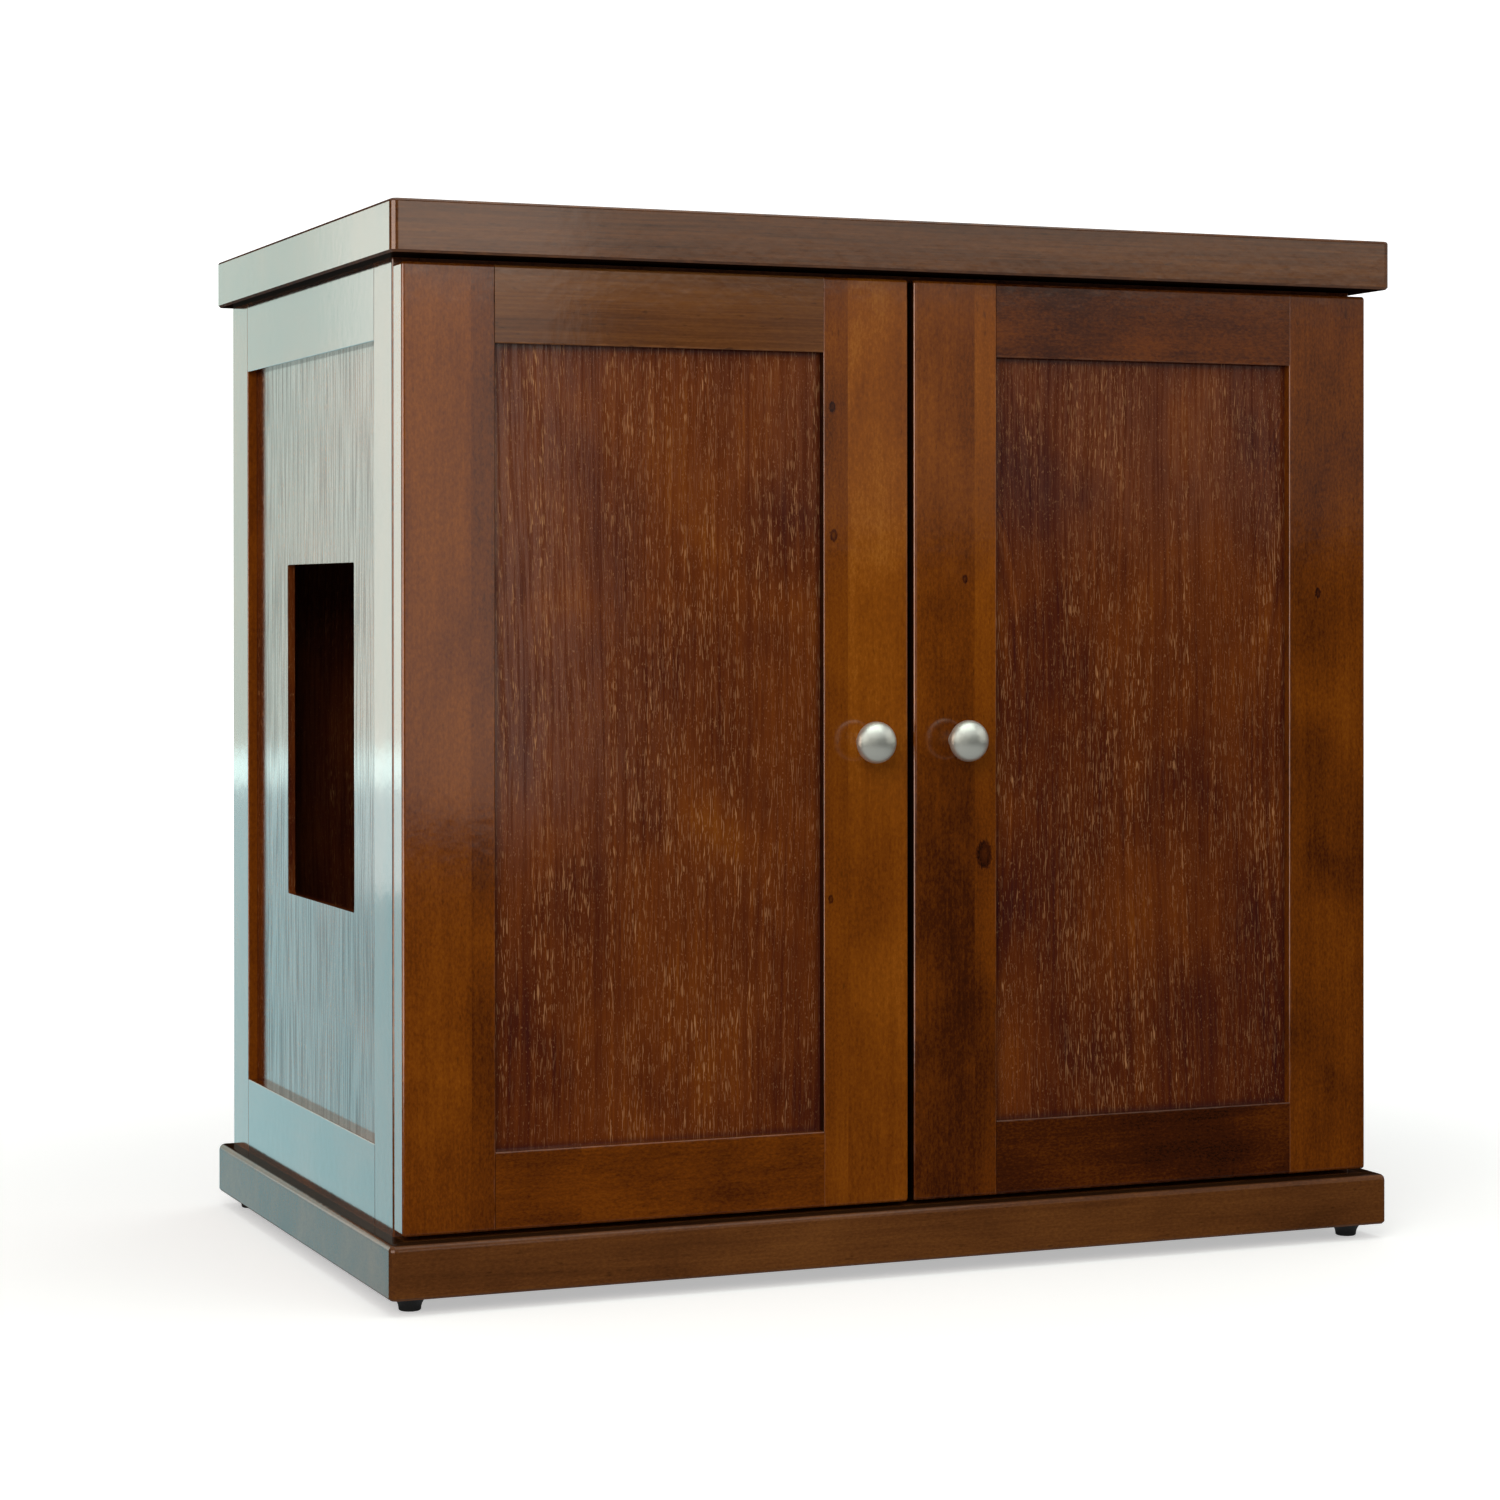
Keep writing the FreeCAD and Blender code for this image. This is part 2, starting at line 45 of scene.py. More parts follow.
scene.view_settings.view_transform = "Standard"
scene.view_settings.look = "None"
print("frame loaded:", len(nodes), "nodes")

camera = {
    "place": (-0.9595, -2.26975, 0.4384),   # in front and to the left, a little above the middle
    "turn": (89.75, 0.04, -22.21),          # degrees
    "focal": 83.8,                          # mm, as is the sensor's width
    "sensor": 36,
    "shift": (0.002, -0.0889),
    "clip": (0.01, 100),
}


def addCamera(look):
    data = bpy.data.cameras.new("camera")
    data.lens = look["focal"]
    data.sensor_width = look["sensor"]
    data.shift_x, data.shift_y = look["shift"]
    data.clip_start, data.clip_end = look["clip"]
    body = bpy.data.objects.new("camera", data)
    body.location = look["place"]
    body.rotation_euler = [math.radians(angle) for angle in look["turn"]]
    scene.collection.objects.link(body)
    scene.camera = body


addCamera(camera)


def fromHex(colour):
    # an sRGB hex value as linear red, green, blue and alpha
    parts = [int(colour[i:i + 2], 16) / 255 for i in (1, 3, 5)]
    linear = [p / 12.92 if p <= 0.04045 else ((p + 0.055) / 1.055) ** 2.4 for p in parts]
    return (*linear, 1.0)


def addNode(tree, kind, inputs=(), output=0, **settings):
    # one node with its settings; its sockets are linked or set, and the chosen output comes back
    node = tree.nodes.new("ShaderNode" + kind)
    for name, value in settings.items():
        setattr(node, name, value)
    for socket, value in inputs.items() if isinstance(inputs, dict) else enumerate(inputs):
        if isinstance(value, bpy.types.NodeSocket):
            tree.links.new(value, node.inputs[socket])
        else:
            node.inputs[socket].default_value = value
    return node if output is None else node.outputs[output]


def newMaterial(name):
    made = bpy.data.materials.new(name)
    made.use_nodes = True
    made.node_tree.nodes.clear()
    return made


# Settings that many nodes share. A Mix node between colours has its share in socket 0 and its
# colours in sockets 6 and 7
softStep = {"interpolation_type": "SMOOTHSTEP"}
ofColours = {"output": 2, "data_type": "RGBA"}


def cloudyPattern(tree, vector, size, detail=2.0, roughness=0.5, distortion=0.0):
    # features of about size (x, y, z) in millimetres
    scaled = addNode(tree, "VectorMath", (vector, [1000 / s for s in size]), operation="MULTIPLY")
    inputs = {
        "Vector": scaled,
        "Scale": 1.0,
        "Detail": detail,
        "Roughness": roughness,
        "Distortion": distortion,
    }
    return addNode(tree, "TexNoise", inputs)


def swayed(tree, base, pattern, share):
    # the base, moved by a share of the pattern's swing about its middle
    swing = addNode(tree, "Math", (pattern, 0.5), operation="SUBTRACT")
    return addNode(tree, "Math", (swing, share, base), operation="MULTIPLY_ADD")


def stain(tree, shade, colours):
    # the stain's colours from dark to light
    node = addNode(tree, "ValToRGB", (shade,), None)
    steps = node.color_ramp.elements
    while len(steps) < len(colours):
        steps.new(0.5)
    for index, colour in enumerate(colours):
        steps[index].position = index / (len(colours) - 1)
        steps[index].color = fromHex(colour)
    return node.outputs["Color"]


# Grain runs along the texture's z axis, and its x axis lies across the face; turns in degrees
grainTurns = {
    "z": (0, 0, 0),
    "zSide": (0, 0, 90),
    "x": (0, -90, 0),
    "y": (90, 0, 0),
}


def grainSpace(tree, grain, offset):
    coords = addNode(tree, "TexCoord", output="Object")
    turn = [math.radians(angle) for angle in grainTurns[grain]]
    inputs = {"Vector": coords, "Location": offset, "Rotation": turn}
    return coords, addNode(tree, "Mapping", inputs)


def edgeDistance(tree, coords, node):
    # on a box the nearest of the three pairs of faces is the surface itself, so the middle one
    # of the three distances is the one to its edge
    low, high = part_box(node)
    split = addNode(tree, "SeparateXYZ", (coords,), None).outputs
    away = []
    for axis in range(3):
        centre = (low[axis] + high[axis]) / 2
        half = (high[axis] - low[axis]) / 2
        aside = addNode(tree, "Math", (split[axis], centre), operation="SUBTRACT")
        aside = addNode(tree, "Math", (aside,), operation="ABSOLUTE")
        away.append(addNode(tree, "Math", (half, aside), operation="SUBTRACT"))
    lower = addNode(tree, "Math", (away[0], away[1]), operation="MINIMUM")
    upper = addNode(tree, "Math", (away[0], away[1]), operation="MAXIMUM")
    upper = addNode(tree, "Math", (upper, away[2]), operation="MINIMUM")
    return addNode(tree, "Math", (lower, upper), operation="MAXIMUM")


def faceDirection(tree):
    # how far a face points along x, y and z
    normal = addNode(tree, "TexCoord", output="Normal")
    return addNode(tree, "SeparateXYZ", (normal,), None).outputs


def toneAtFloor(node, look, tone, paintedLightFade):
    # a fade is painted light: the change of tone per metre of height, lighter higher up, and leaves
    # the piece's middle as it is
    middleHeight = sum(corner.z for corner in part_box(node)) / 2
    return look["tone"] + tone - paintedLightFade * middleHeight


def lacquer(made, node, colour, roughness, relief, coatRelief, coat, look):
    # stained wood below, one clear gloss coat above; only the coat shines
    tree = made.node_tree
    inputs = {
        "Base Color": colour,
        "Roughness": roughness,
        "Normal": relief,
        "Coat Weight": coat,
        "Coat Roughness": look["coatRoughness"],
        "Coat IOR": 1.5,
        "Coat Normal": coatRelief,
        "Specular IOR Level": 0.0,
    }
    shader = addNode(tree, "BsdfPrincipled", inputs)
    addNode(tree, "OutputMaterial", {"Surface": shader}, None)
    nodes[node].data.materials.clear()
    nodes[node].data.materials.append(made)


def pieceName(node):
    words = node.split("_")
    return words[0] + "".join(word.capitalize() for word in words[1:])


# Solid wood of the frames and boards: alder, close-grained, stained walnut and sprayed with gloss
# lacquer. The eye sees amber to dark brown streaks along the grain, soft blotches where the stain
# took unevenly, small dark flecks, and glued-up strips of different tone.
# Each pattern: size in mm across, through and along the grain, detail, roughness, waviness, and
# how much it moves the tone. Fibre and close grain are finer in real wood, drawn coarser to show.
frameWood = {
    "tone": 0.5,                    # 0 is the darkest colour and 1 the lightest
    "colours": ("#1d0a03", "#451d07", "#703708", "#8e4c0c", "#ad6a20"),
    "blotch": ((60, 60, 85), 3, 0.5, 0.4, 0.56),
    "plank": ((70, 70, 700), 2, 0.5, 0.3, 0.50),
    "streak": ((11, 11, 240), 4, 0.6, 0.8, 0.24),
    "fibre": ((1.8, 1.8, 40), 3, 0.6, 0.0, 0.18),
    "closeGrain": ((1.4, 1.4, 2.8), 2, 0.7, 0.0, 0.50),
    "fleck": ((2.2, 2.2, 9), 1, 0.4, 0.0, 0.35),
    "fleckLimits": (0.70, 0.80),    # of its pattern, where a fleck starts and is full
    "stripJump": (0.31, 0.17, 0.83),    # metres between two glued strips' places in the log
    "rubbed": "#b5896c",            # lacquer rubbed thin along the edges, and a painted highlight on the arrises
    "rubbedLimits": (1.3, 0.2),     # mm from the edge, where it starts and is full
    "rubbedWander": 3,              # mm that these limits wander
    "rubbing": 0.10,
    "roughness": (0.42, 0.55),      # in the fibre's hollows and on its ridges
    "fibreDepth": 0.05,             # mm
    "orangePeel": 9,                # mm, the ripples that sprayed lacquer dries with
    "orangePeelDepth": 0.05,
    "coatRoughness": 0.10,
}
# The wide boards took a cooler, greyer walnut stain than the frames, and show long fine grain lines
boardWood = dict(
    frameWood,
    colours=("#1b0d06", "#3d2110", "#62391a", "#7d4d22", "#96642f"),
    blotch=((70, 70, 160), 3, 0.5, 0.4, 0.26),
    plank=((45, 45, 900), 2, 0.5, 0.6, 0.50),
    streak=((7, 7, 260), 4, 0.6, 1.0, 0.40),
    fibre=((1.3, 1.3, 70), 3, 0.6, 0.0, 0.42),
    closeGrain=((1.5, 1.5, 5), 2, 0.7, 0.0, 0.22),
    rubbed="#a0683a",
    rubbing=0.30,
)
# The base took the stain in blotches; its ledge round the foot is painted dark as shade, and dust
# dulls its coat
baseWood = dict(
    boardWood,
    blotch=((60, 60, 100), 3, 0.5, 0.4, 0.50),
    streak=((9, 9, 240), 4, 0.6, 0.8, 0.24),
    fibre=((1.6, 1.6, 50), 3, 0.6, 0.0, 0.20),
    closeGrain=((1.4, 1.4, 3.2), 2, 0.7, 0.0, 0.40),
    ledge=11.5,                     # mm wide
    ledgeFade=2,
    dust="#0f0a08",
    dusting=0.8,
    dustedCoat=-0.45,               # what the full ledge mark of dust and painted shade adds to the coat
)
# Inside, the rails have a thin satin coat
innerWood = dict(frameWood, coatRoughness=0.30)

# Knots: each ring as outer and inner limit in radii, and change of tone
knotShape = {
    "rings": ((1.1, 0.7, -0.30), (0.6, 0.2, 0.12)),
    "through": 0.2,                 # its width over its depth into the wood
    "uneven": 0.5,                  # how far its outline wanders, in radii
}
# Faces painted darker than the rest as shade; the limits are how far a face turns that way
paintedShadeFace = {
    "colour": "#0c0502",
    "limits": (0.80, 0.97),
    "share": 0.92,
    "undersideCoat": 0.02,
}
levelFace = (0.85, 0.97)            # how far up a face points, where the ledge's painted shade and dust start and are full


def solidWood(node, look, grain, offset, tone=0.0, paintedLightFade=0.0, strip=None, knots=(), coat=1.0,
              paintedShadeFaces=None):
    made = newMaterial(pieceName(node) + "StainedAlder")
    tree = made.node_tree
    coords, grained = grainSpace(tree, grain, offset)
    split = addNode(tree, "SeparateXYZ", (coords,), None).outputs
    # painted light: the fade makes the tone change with height
    faded = (split[2], paintedLightFade, toneAtFloor(node, look, tone, paintedLightFade))
    shade = addNode(tree, "Math", faded, operation="MULTIPLY_ADD")
    if strip is not None:
        # past the glued joint the pattern jumps and the tone changes
        place, change = strip
        past = addNode(tree, "Math", (split[0], place * mm), operation="GREATER_THAN")
        shade = addNode(tree, "Math", (past, change, shade), operation="MULTIPLY_ADD")
        jump = (addNode(tree, "CombineXYZ", (past, past, past)), look["stripJump"], grained)
        grained = addNode(tree, "VectorMath", jump, operation="MULTIPLY_ADD")
    seen = {}
    for name in ("blotch", "plank", "streak", "fibre", "closeGrain", "fleck"):
        *shape, share = look[name]
        seen[name] = cloudyPattern(tree, grained, *shape)
        if name != "fleck":
            shade = swayed(tree, shade, seen[name], share)
    for x, y, z, radius, stretch in knots:
        # a dark ring with a paler heart, drawn out along the grain
        away = addNode(tree, "VectorMath", (coords, (x * mm, y * mm, z * mm)), operation="SUBTRACT")
        squeeze = (1, knotShape["through"], 1 / stretch)
        squeezed = addNode(tree, "VectorMath", (away, squeeze), operation="MULTIPLY")
        reach = addNode(tree, "VectorMath", (squeezed,), "Value", operation="LENGTH")
        reach = swayed(tree, reach, seen["closeGrain"], radius * knotShape["uneven"] * mm)
        for outer, inner, change in knotShape["rings"]:
            limits = (reach, radius * outer * mm, radius * inner * mm, 0, change)
            ring = addNode(tree, "MapRange", limits, **softStep)
            shade = addNode(tree, "Math", (shade, ring), operation="ADD")
    colour = stain(tree, shade, look["colours"])
    limits = (seen["fleck"], *look["fleckLimits"], 0, look["fleck"][-1])
    flecked = addNode(tree, "MapRange", limits, **softStep)
    darkest = fromHex(look["colours"][0])
    colour = addNode(tree, "Mix", {0: flecked, 6: colour, 7: darkest}, **ofColours)
    edge = edgeDistance(tree, coords, node)
    # pale along the edges: lacquer rubbed thin, and a painted highlight on the arrises
    edge = swayed(tree, edge, seen["fleck"], look["rubbedWander"] * mm)
    start, full = look["rubbedLimits"]
    limits = (edge, start * mm, full * mm, 0, look["rubbing"])
    rubbed = addNode(tree, "MapRange", limits, **softStep)
    colour = addNode(tree, "Mix", {0: rubbed, 6: colour, 7: fromHex(look["rubbed"])}, **ofColours)
    if paintedShadeFaces is not None:
        facing = faceDirection(tree)
        if paintedShadeFaces == "upright":
            # the edges between the doors are painted dark on their sides, as shade in the gap
            turned = addNode(tree, "Math", (facing[0],), operation="ABSOLUTE")
        else:
            # an underside is painted dark as shade, and is not lacquered
            turned = addNode(tree, "Math", (facing[2], -1), operation="MULTIPLY")
            limits = (turned, *paintedShadeFace["limits"], coat, paintedShadeFace["undersideCoat"])
            coat = addNode(tree, "MapRange", limits, **softStep)
        limits = (turned, *paintedShadeFace["limits"], 0, paintedShadeFace["share"])
        dark = addNode(tree, "MapRange", limits, **softStep)
        darkened = {0: dark, 6: colour, 7: fromHex(paintedShadeFace["colour"])}
        colour = addNode(tree, "Mix", darkened, **ofColours)
    if "ledge" in look:
        # painted shade on the ledge round the base, with dust that dulls its coat
        onTop = addNode(tree, "MapRange", (faceDirection(tree)[2], *levelFace), **softStep)
        fadeFrom = (look["ledge"] + look["ledgeFade"]) * mm
        limits = (edge, fadeFrom, look["ledge"] * mm, 0, look["dusting"])
        ledge = addNode(tree, "MapRange", limits, **softStep)
        ledge = addNode(tree, "Math", (ledge, onTop), operation="MULTIPLY")
        colour = addNode(tree, "Mix", {0: ledge, 6: colour, 7: fromHex(look["dust"])}, **ofColours)
        coat = addNode(tree, "Math", (ledge, look["dustedCoat"], coat), operation="MULTIPLY_ADD")
    roughness = addNode(tree, "MapRange", (seen["fibre"], 0.3, 0.7, *look["roughness"]), **softStep)
    inputs = {"Height": seen["fibre"], "Distance": look["fibreDepth"] * mm}
    relief = addNode(tree, "Bump", inputs)
    orangePeel = cloudyPattern(tree, coords, [look["orangePeel"]] * 3)
    inputs = {"Height": orangePeel, "Distance": look["orangePeelDepth"] * mm}
    coatRelief = addNode(tree, "Bump", inputs)
    lacquer(made, node, colour, roughness, relief, coatRelief, coat, look)


# Panels: open-pored oak veneer, stained red-brown under the same lacquer. The eye sees short light
# dashes where the pores hold dust and glint, gathered in rows that arch here and there.
# Patterns are given as for the solid wood; limits are of a pattern, and what they turn it to
panelVeneer = {
    "tone": 0.53,
    "colours": ("#2f1318", "#4f200f", "#6e3410", "#8a4a10"),
    "blotch": ((75, 75, 110), 3, 0.5, 0.3, 1.10),
    "wander": ((120, 120, 480), 1.5, 0.45),
    "wanderWidth": 28.0,            # mm that the rings swing sideways
    "ring": ((6.0, 60, 900), 2, 0.6, 0.0, 0.34),
    "archRing": 0.42,               # rings tell more where they arch
    "archAlong": 0.16,              # an arch's width over its length along the grain
    "archFull": 0.6,                # of an arch's reach, where its rings are wholly round
    "rib": ((2.0, 2.0, 80), 1.5, 0.6, 0.0, 0.62),       # fine dark lines between the pores
    "pore": ((0.5, 0.5, 7), 0.6, 0.4),      # real pores are 0.3 mm wide, drawn coarser to show
    "poreLimits": (0.60, 0.72),
    # the pale colour of pores and specks: dust, and painted glint
    "poreColour": "#cb9462",
    "pores": 0.60,
    "poreDepth": 0.12,              # mm
    "rowLimits": (0.40, 0.60, 0.15, 1),     # pores gather along the rings
    "patch": ((55, 55, 90), 2, 0.5),        # and thin out in patches
    "patchLimits": (0.35, 0.65, 0.35, 1),
    "dust": ((0.85, 0.85, 2.2), 1, 0.5),
    "dustLimits": (0.62, 0.78, 0, 0.45),
    "border": (14, 9),              # mm from the panel's edge: darker towards the frame
    "bordering": 0.5,
    "roughness": 0.42,
    "poreRoughness": 0.2,           # added in the pores
    "valleyLimits": (0.56, 0.40),   # of the rib pattern, where the lacquer starts to sink
    "coatDepth": 0.02,
    "coatRoughness": 0.12,
}
# The back panel's lacquer is a thin satin coat
backVeneer = dict(panelVeneer, coatRoughness=0.30)


def veneer(node, look, grain, offset, tone=0.0, paintedLightFade=0.0, arches=(), shine=1.0, sunken=0.6):
    made = newMaterial(pieceName(node) + "OakVeneer")
    tree = made.node_tree
    coords, grained = grainSpace(tree, grain, offset)
    split = addNode(tree, "SeparateXYZ", (grained,), None).outputs
    wander = cloudyPattern(tree, grained, *look["wander"])
    across = swayed(tree, split[0], wander, look["wanderWidth"] * mm)
    straight = addNode(tree, "CombineXYZ", (across, split[1], split[2]))
    arched = 0.0
    for x, y, z, reach in arches:
        # near an arch the rings close round a point instead of running straight past it
        away = addNode(tree, "VectorMath", (coords, (x * mm, y * mm, z * mm)), operation="SUBTRACT")
        squeeze = (1, 1, look["archAlong"])
        squeezed = addNode(tree, "VectorMath", (away, squeeze), operation="MULTIPLY")
        ringAt = addNode(tree, "VectorMath", (squeezed,), "Value", operation="LENGTH")
        limits = (ringAt, reach * mm, reach * look["archFull"] * mm)
        near = addNode(tree, "MapRange", limits, **softStep)
        across = addNode(tree, "Mix", {0: near, 2: across, 3: ringAt}, data_type="FLOAT")
        arched = addNode(tree, "Math", (arched, near), operation="MAXIMUM")
    ringed = addNode(tree, "CombineXYZ", (across, split[1], split[2]))
    ring = cloudyPattern(tree, ringed, *look["ring"][:-1])
    rib = cloudyPattern(tree, straight, *look["rib"][:-1])
    pore = cloudyPattern(tree, straight, *look["pore"])
    dust = cloudyPattern(tree, grained, *look["dust"])
    patch = cloudyPattern(tree, grained, *look["patch"])
    blotch = cloudyPattern(tree, grained, *look["blotch"][:-1])
    height = addNode(tree, "SeparateXYZ", (coords,), None).outputs[2]
    # painted light: the fade makes the tone change with height
    faded = (height, paintedLightFade, toneAtFloor(node, look, tone, paintedLightFade))
    shade = addNode(tree, "Math", faded, operation="MULTIPLY_ADD")
    ringShare = (arched, look["archRing"], look["ring"][-1])
    ringShare = addNode(tree, "Math", ringShare, operation="MULTIPLY_ADD")
    shade = swayed(tree, shade, blotch, look["blotch"][-1])
    shade = swayed(tree, shade, ring, ringShare)
    shade = swayed(tree, shade, rib, look["rib"][-1])
    colour = stain(tree, shade, look["colours"])
    pits = addNode(tree, "MapRange", (pore, *look["poreLimits"]), **softStep)
    for pattern, limits in ((ring, look["rowLimits"]), (patch, look["patchLimits"])):
        thinning = addNode(tree, "MapRange", (pattern, *limits), **softStep)
        pits = addNode(tree, "Math", (pits, thinning), operation="MULTIPLY")
    # pale dashes and specks: dust in the pores, and painted glint
    dustAndGlint = addNode(tree, "MapRange", (dust, *look["dustLimits"]), **softStep)
    pale = addNode(tree, "Math", (pits, dustAndGlint), operation="MAXIMUM")
    pale = addNode(tree, "Math", (pale, look["pores"]), operation="MULTIPLY")
    colour = addNode(tree, "Mix", {0: pale, 6: colour, 7: fromHex(look["poreColour"])}, **ofColours)
    start, full = look["border"]
    limits = (edgeDistance(tree, coords, node), start * mm, full * mm, 0, look["bordering"])
    border = addNode(tree, "MapRange", limits, **softStep)
    darkest = fromHex(look["colours"][0])
    colour = addNode(tree, "Mix", {0: border, 6: colour, 7: darkest}, **ofColours)
    roughness = (pits, look["poreRoughness"], look["roughness"])
    roughness = addNode(tree, "Math", roughness, operation="MULTIPLY_ADD")
    depth = addNode(tree, "Math", (1.0, pits), operation="SUBTRACT")
    relief = addNode(tree, "Bump", {"Height": depth, "Distance": look["poreDepth"] * mm})
    coatRelief = addNode(tree, "Bump", {"Height": pore, "Distance": look["coatDepth"] * mm})
    # the lacquer sinks into the pores and between the ribs, and shines less there
    valley = addNode(tree, "MapRange", (rib, *look["valleyLimits"]), **softStep)
    dull = addNode(tree, "Math", (pits, valley), operation="MAXIMUM")
    coat = addNode(tree, "Math", (dull, -sunken, shine), operation="MULTIPLY_ADD")
    lacquer(made, node, colour, roughness, relief, coatRelief, coat, look)


# Each wooden node: grain direction, where in the log it was cut, tone, glued strip (place in mm,
# change of tone), knots (place and radius in mm, stretch)
solidPieces = {
    "top_board": dict(
        look=boardWood, grain="x", offset=(0.3, 0.1, 0.2), tone=-0.06, paintedShadeFaces="underside"),
    "base_board": dict(
        look=baseWood, grain="x", offset=(1.3, 0.4, 0.9), coat=0.5, paintedShadeFaces="underside"),
    "front_top_rail": dict(
        look=innerWood, grain="x", offset=(2.0, 0.2, 0.1), tone=-0.05, coat=0.3),
    "rear_top_rail": dict(
        look=innerWood, grain="x", offset=(2.6, 0.9, 0.4), tone=-0.05, coat=0.3),
    "left_door_hinge_stile": dict(
        grain="z", offset=(0.11, 0.5, 0.3), tone=0.01, strip=(-300, -0.07)),
    "left_door_meeting_stile": dict(
        grain="z", offset=(0.91, 0.2, 1.3), tone=0.06, strip=(-45, 0.07), paintedShadeFaces="upright",
        knots=((-56, -203, 564, 2.4, 1.6), (-55, -203, 481, 2.8, 1.6), (-57, -203, 246, 2.0, 1.6))),
    "left_door_top_rail": dict(look=boardWood, grain="x", offset=(0.4, 0.8, 0.7), tone=0.09),
    "left_door_bottom_rail": dict(
        grain="x", offset=(0.9, 1.8, 0.2), tone=-0.05, strip=(-228, 0.05)),
    "right_door_hinge_stile": dict(
        grain="z", offset=(1.7, 0.6, 0.8), tone=-0.02, knots=((307, -203, 444, 2.4, 1.6),)),
    "right_door_meeting_stile": dict(
        grain="z", offset=(2.2, 0.3, 2.3), tone=-0.03, paintedLightFade=0.60, strip=(46, 0.07),
        paintedShadeFaces="upright", knots=((53, -203, 272, 6.0, 1.7), (39, -203, 453, 2.0, 1.6))),
    "right_door_top_rail": dict(grain="x", offset=(3.4, 0.1, 0.6), tone=-0.16),
    "right_door_bottom_rail": dict(grain="x", offset=(3.9, 1.1, 1.2), tone=-0.29),
    "left_side_front_stile": dict(grain="z", offset=(4.1, 0.5, 0.3), tone=-0.12),
    "left_side_rear_stile": dict(grain="z", offset=(4.6, 1.5, 0.3), tone=0.05),
    "left_side_top_rail": dict(grain="y", offset=(4.1, 0.5, 1.3), tone=-0.18),
    "left_side_bottom_rail": dict(grain="y", offset=(5.1, 0.2, 0.9), tone=-0.10),
    "right_side_front_stile": dict(grain="z", offset=(6.1, 0.5, 0.3), tone=-0.06),
    "right_side_rear_stile": dict(grain="z", offset=(6.6, 1.5, 0.3), tone=-0.10),
    "right_side_top_rail": dict(grain="y", offset=(7.1, 0.5, 1.3), tone=-0.14),
    "right_side_bottom_rail": dict(grain="y", offset=(7.6, 0.2, 0.9), tone=-0.14),
}
# And each panel: arches (place and reach in mm), how much its coat shines, and how much less in
# its hollows
panelPieces = {
    "left_door_panel": dict(grain="z", offset=(0.2, 0.1, 0.3), tone=0.02),
    "right_door_panel": dict(
        grain="z", offset=(1.45, 0.7, 1.1), tone=-0.06, paintedLightFade=0.25,
        arches=((60, -196, 330, 44), (292, -196, 330, 62))),
    "left_side_panel": dict(grain="zSide", offset=(2.3, 0.4, 0.8), shine=0.94, sunken=0.32),
    "right_side_panel": dict(
        grain="zSide", offset=(3.7, 0.9, 0.2), arches=((332, 60, 380, 60),)),
    "back_panel": dict(
        look=backVeneer, grain="z", offset=(4.9, 0.3, 1.6), tone=-0.05, shine=0.5, sunken=0.2),
}
for node, cut in solidPieces.items():
    solidWood(node, **{"look": frameWood, **cut})
for node, cut in panelPieces.items():
    veneer(node, **{"look": panelVeneer, **cut})
print("wood finished:", len(solidPieces) + len(panelPieces), "pieces")


def grainyMaterial(name, look):
    # fine grain in the gloss and the relief, and clouds of a second colour; sizes in mm
    made = newMaterial(name)
    tree = made.node_tree
    coords = addNode(tree, "TexCoord", output="Object")
    grain = cloudyPattern(tree, coords, [look["grit"]] * 3, 3, 0.6)
    cloud = cloudyPattern(tree, coords, [look["cloud"]] * 3)
    cloud = addNode(tree, "MapRange", (cloud, *look["limits"], 0, look["share"]), **softStep)
    first, second = look["colours"]
    colours = {0: cloud, 6: fromHex(first), 7: fromHex(second)}
    inputs = {
        "Base Color": addNode(tree, "Mix", colours, **ofColours),
        "Metallic": look["metallic"],
        "Roughness": addNode(tree, "MapRange", (grain, 0.3, 0.7, *look["roughness"]), **softStep),
        "Normal": addNode(tree, "Bump", {"Height": grain, "Distance": look["depth"] * mm}),
    }
    addNode(tree, "OutputMaterial", {"Surface": addNode(tree, "BsdfPrincipled", inputs)}, None)
    return made


# On plated metal the clouds are its duller patches, and on moulded pieces its paler ones
plated = {"metallic": 1.0, "depth": 0.01, "cloud": 14, "limits": (0.35, 0.70)}
moulded = {"metallic": 0.0, "cloud": 18, "limits": (0.35, 0.65), "share": 1.0}

# Satin nickel plating: bead-blasted before plating, so that it scatters light almost like a matt
# pale surface, with one soft highlight
satinNickel = grainyMaterial("satinNickel", dict(
    plated, colours=("#e8ece2", "#6e6a60"), metallic=0.80, roughness=(0.29, 0.42), grit=0.5,
    share=0.05))
# Bright nickel on pressed steel: sharper highlights with faint drawing marks
platedSteel = grainyMaterial("nickelPlatedSteel", dict(
    plated, colours=("#c4c4c0", "#6e6a60"), roughness=(0.21, 0.34), grit=0.8, share=0.20))
# Zinc plating on screws: greyer, and dull where the driver touched it
zincPlate = grainyMaterial("zincPlatedSteel", dict(
    plated, colours=("#b4b6b8", "#6e6a60"), roughness=(0.27, 0.40), grit=0.6, share=0.35))
# Moulded black rubber: matte, with a faint grey bloom
footRubber = grainyMaterial("mouldedRubber", dict(
    moulded, colours=("#0b0b0b", "#191918"), roughness=(0.54, 0.70), grit=0.8, depth=0.03))
# Brown ABS of the catch: fine spark-eroded texture
catchPlastic = grainyMaterial("mouldedAbs", dict(
    moulded, colours=("#3a2416", "#43291a"), roughness=(0.34, 0.50), grit=0.6, depth=0.02))
# Sintered magnet faces: dark, slightly glossy grey
magnetGrey = grainyMaterial("sinteredFerrite", dict(
    moulded, colours=("#2a2b2d", "#3a3b3d"), roughness=(0.27, 0.43), grit=0.5, depth=0.01))

